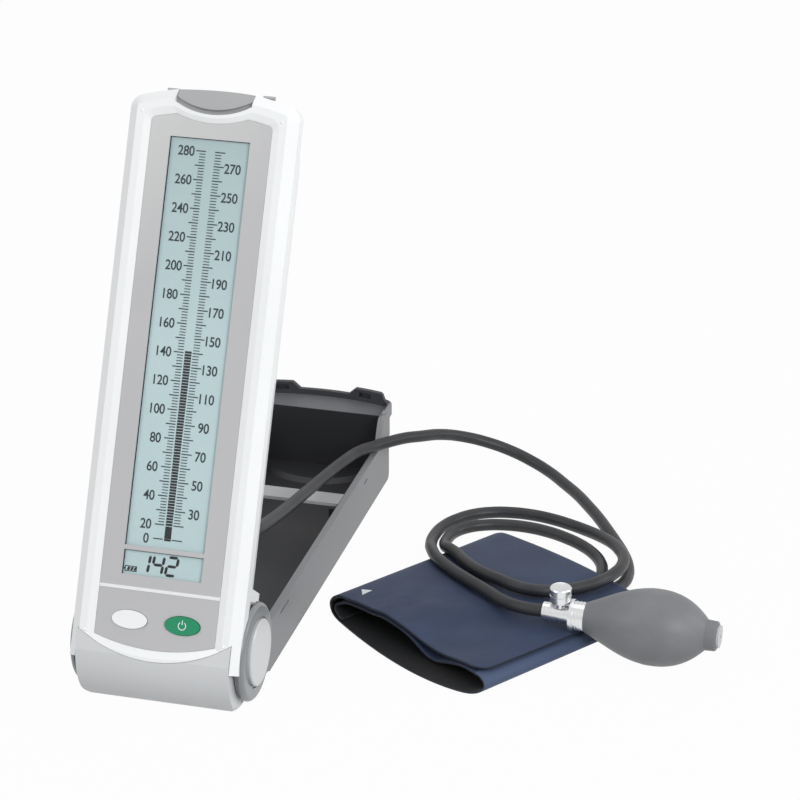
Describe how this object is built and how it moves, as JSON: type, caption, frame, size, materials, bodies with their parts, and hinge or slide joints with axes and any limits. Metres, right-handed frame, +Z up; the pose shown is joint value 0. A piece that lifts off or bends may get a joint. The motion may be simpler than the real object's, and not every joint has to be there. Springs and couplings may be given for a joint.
{
  "type": "folding sphygmomanometer",
  "caption": "Folding desk blood pressure monitor with a tall column display on a tray, with a cuff, hoses, inflation bulb and bleed valve.",
  "frame": {"origin": "middle of the tray's flat underside, with the display standing open", "axes": "+X to the right as the reader faces the display, where the cuff lies; +Y away from the reader, along the tray; +Z up"},
  "size_m": [0.3413, 0.3583, 0.3111],
  "materials": {
    "white_shell": "fine matt moulded plastic",
    "grey_panel": "satin printed plate",
    "clear_window": "clear polished sheet",
    "lcd_glass": "pale blue-green display glass",
    "inner_plastic": "plain moulded plastic",
    "light_guide": "clear milky plastic",
    "board_green": "lacquered circuit board",
    "dark_plastic": "moulded dark plastic",
    "foot_grey": "fine matt moulded plastic",
    "rubber_black": "smooth soft rubber",
    "button_white": "smooth moulded plastic",
    "button_green": "smooth moulded plastic",
    "latch_grey": "fine matt moulded plastic",
    "spring_steel": "bright drawn wire and plate",
    "battery_jacket": "plain printed jacket",
    "washer_nylon": "natural nylon",
    "tray_grey": "fine matt moulded plastic",
    "ring_dark": "fine matt moulded plastic",
    "cap_pale": "smooth moulded plastic",
    "cuff_cloth": "woven nylon with a soft nap",
    "hook_tape": "hook tape",
    "bladder_rubber": "smooth rubber sheet",
    "plated_brass": "bright nickel plating",
    "bulb_rubber": "smooth grey rubber",
    "intake_white": "plain moulded plastic"
  },
  "bodies": {
    "base": {"base_tray": "tray_grey", "hub_ring_left": "ring_dark", "hub_ring_right": "ring_dark", "hub_cap_left": "cap_pale", "hub_cap_right": "cap_pale", "hinge_pins": "spring_steel", "cuff_retainer": "latch_grey", "tray_pads": "rubber_black", "hose_lead": "rubber_black", "cuff_hose": "rubber_black", "bulb_hose": "rubber_black", "cuff_ports": "dark_plastic", "cuff_cover": "cuff_cloth", "cuff_flap": "cuff_cloth", "cuff_bladder": "bladder_rubber", "hook_patch": "hook_tape", "valve_body": "plated_brass", "valve_collar": "plated_brass", "bulb": "bulb_rubber", "bulb_inlet_valve": "intake_white"},
    "display": {"front_bezel": "white_shell", "face_panel": "grey_panel", "lcd_window": "clear_window", "lcd_panel": "lcd_glass", "lcd_holder": "inner_plastic", "backlight": "light_guide", "main_board": "board_green", "pressure_sensor": "inner_plastic", "sensor_tube": "rubber_black", "air_socket": "dark_plastic", "rear_shell": "white_shell", "foot_cover": "foot_grey", "foot_pads": "rubber_black", "key_switches": "dark_plastic", "latch_springs": "spring_steel", "batteries": "battery_jacket", "battery_contacts": "spring_steel", "case_screws": "spring_steel", "friction_washers": "washer_nylon", "hose_plug": "dark_plastic"},
    "latch": {"latch_button": "latch_grey", "latch_bar": "latch_grey"},
    "mark_key": {"mark_button": "button_white"},
    "power_key": {"power_button": "button_green"},
    "battery_door": {"battery_cover": "white_shell"},
    "valve_screw": {"valve_knob": "plated_brass", "valve_needle": "plated_brass"}
  },
  "joints": [
    {"name": "display_fold", "type": "hinge", "parent": "base", "child": "display", "pos_m": [0, -0.157, 0.02835], "axis": [-1, 0, 0], "range_deg": [0, 64.5], "deforming": ["hose_lead"]},
    {"name": "latch_slide", "type": "slide", "parent": "display", "child": "latch", "axis": [0, -0.4305, -0.9026], "range_m": [0, 0.0025], "stiffness_N_per_m": 800, "springref_m": -0.002, "deforming": ["latch_springs"]},
    {"name": "mark_press", "type": "slide", "parent": "display", "child": "mark_key", "axis": [0, 0.9026, -0.4305], "range_m": [0, 0.001], "stiffness_N_per_m": 1500, "springref_m": -0.0005},
    {"name": "power_press", "type": "slide", "parent": "display", "child": "power_key", "axis": [0, 0.9026, -0.4305], "range_m": [0, 0.001], "stiffness_N_per_m": 1500, "springref_m": -0.0005},
    {"name": "battery_door_lift", "type": "slide", "parent": "display", "child": "battery_door", "axis": [0, 0.9026, -0.4305], "range_m": [0, 0.012]},
    {"name": "valve_turn", "type": "hinge", "parent": "base", "child": "valve_screw", "pos_m": [0.19761, -0.05975, 0.03], "axis": [0, 0, 1], "range_deg": [0, 360]}
  ]
}
